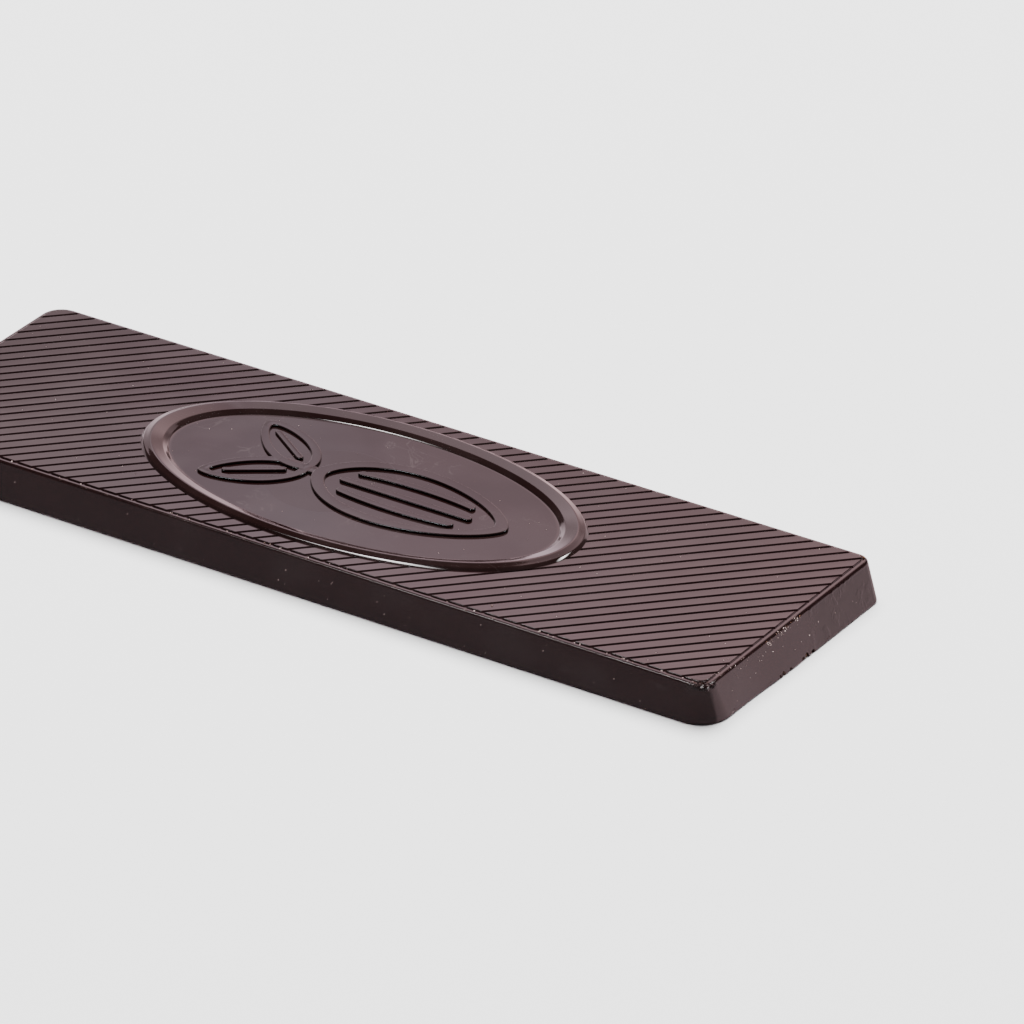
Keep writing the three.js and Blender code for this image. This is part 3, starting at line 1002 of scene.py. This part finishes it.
def top_lamp(azimuth, elevation, distance, size, energy):
    """The large soft lamp over the bar."""
    light = bpy.data.lights.new("top_light", "AREA")
    light.shape = "DISK"
    light.size = size
    light.energy = energy
    stand = bpy.data.objects.new("top_light", light)
    bpy.context.collection.objects.link(stand)
    stand.location, stand.rotation_euler = stand_at(azimuth, elevation, distance)
    stand.visible_camera = False
    stand.visible_glossy = False


def panel(name, azimuth, elevation, width, height, strength):
    """A glowing panel that fades towards its edges, seen only in the bar's gloss."""
    clear_selection()
    bpy.ops.mesh.primitive_circle_add(vertices=48, radius=1, fill_type="NGON")
    made = bpy.context.object
    made.name = name
    made.scale = (width / 2, height / 2, 1)
    made.location, made.rotation_euler = stand_at(azimuth, elevation, PANEL_DISTANCE)
    material, tree = new_material(name)
    place = add_node(tree, "TexCoord", {}, output="Object")
    reach = add_node(tree, "VectorMath", {0: place}, output="Value", operation="LENGTH")
    light = add_node(tree, "Emission", {
        "Color": (1, 0.96, 0.96, 1), "Strength": span(tree, reach, 1.0, 0.1, 0.0, strength)})
    tree.links.new(light, tree.nodes["Material Output"].inputs["Surface"])
    made.data.materials.append(material)
    only_in_gloss(made)


def studio():
    """The faint room light, the sheets round the bar, the lamp over it and the two small highlights."""
    world = bpy.data.worlds.new("studio")
    bpy.context.scene.world = world
    world.use_nodes = True
    background = world.node_tree.nodes["Background"]
    background.inputs["Color"].default_value = (1.0, 0.96, 0.98, 1)
    background.inputs["Strength"].default_value = 0.08
    back_light = glow("back_light", 3.44)
    sheet("back_sheet", -62, 10, -0.6, 1.8, back_light)
    sheet("low_sheet_left", -130, -62, -0.6, 0.12, glow("left_light", 1.5))
    sheet("low_sheet_right", 10, 90, -0.6, 0.03, back_light)
    sheet("front_sheet", 90, 230, -0.6, -0.03, dim())
    top_lamp(azimuth=-30, elevation=75, distance=2.2, size=2.0, energy=205)
    panel("right_light", azimuth=50, elevation=43, width=0.36, height=0.09, strength=60)
    panel("front_light", azimuth=-163, elevation=47, width=0.54, height=0.11, strength=70)


def camera():
    """The camera, at the photograph's viewing angle."""
    eye = bpy.data.cameras.new("camera")
    eye.lens = LENS
    eye.sensor_width = SENSOR
    stand = bpy.data.objects.new("camera", eye)
    bpy.context.collection.objects.link(stand)
    turn = Matrix((EYE_RIGHT, EYE_UP, EYE_BACK)).transposed().to_4x4()
    stand.matrix_world = Matrix.Translation(EYE_PLACE) @ turn
    bpy.context.scene.camera = stand


def mark_broken(body):
    """Notes on each face whether it is broken chocolate, for the material, and frees the second slot."""
    marks = body.data.color_attributes.new("broken", "FLOAT_COLOR", "CORNER")
    for face in body.data.polygons:
        shade = 1.0 if face.material_index else 0.0
        for corner in face.loop_indices:
            marks.data[corner].color = (shade, shade, shade, 1)
        face.material_index = 0
    body.data.materials.pop(index=1)


def bar():
    """The whole bar: the slab cut, raised and crumbled, with its broken faces marked."""
    body = slab()
    cut(body, grooves())
    cut(body, pocket())
    cut(body, rim(), "UNION")
    cut(body, relief(), "UNION")
    cut(body, overflow(), "UNION", crossing=True)
    smooth = chocolate()
    raw = bpy.data.materials.new("broken_chocolate")
    body.data.materials.clear()
    body.data.materials.append(smooth)
    body.data.materials.append(raw)
    tool = damage()
    tool.data.materials.append(smooth)
    tool.data.materials.append(raw)
    for face in tool.data.polygons:
        face.material_index = 1
    cut(body, tool, crossing=True)
    mark_broken(body)
    finish_surface(body)
    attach(body, "root")
    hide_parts("chocolate_bar")


def crumbs():
    """The pale crumbs, as one piece."""
    piece = scatter("crumbs", list(crumb_places()))
    piece.data.materials.append(pale_crumb())
    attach(piece, "root")


def flakes():
    """A few raw brown flakes at the chips and on the back right corner."""
    places = [(Vector((80.9, 24.4, 7.5)) * MM, 0.42 * MM), (Vector((80.2, 24.6, 7.45)) * MM, 0.28 * MM)]
    for y in (-3.9, -3.0, 2.4, 3.6):
        places.append((on_right(y * MM, 0.55 * MM), chance.uniform(0.12, 0.22) * MM))
    for _ in range(7):
        point = on_right(chance.uniform(-9, 3) * MM, CRUMBLE_HEIGHT)
        places.append((point, chance.uniform(0.08, 0.16) * MM))
    piece = scatter("flakes", places)
    piece.data.materials.append(raw_flake())
    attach(piece, "root")


camera()
bar()
crumbs()
flakes()
floor()
studio()
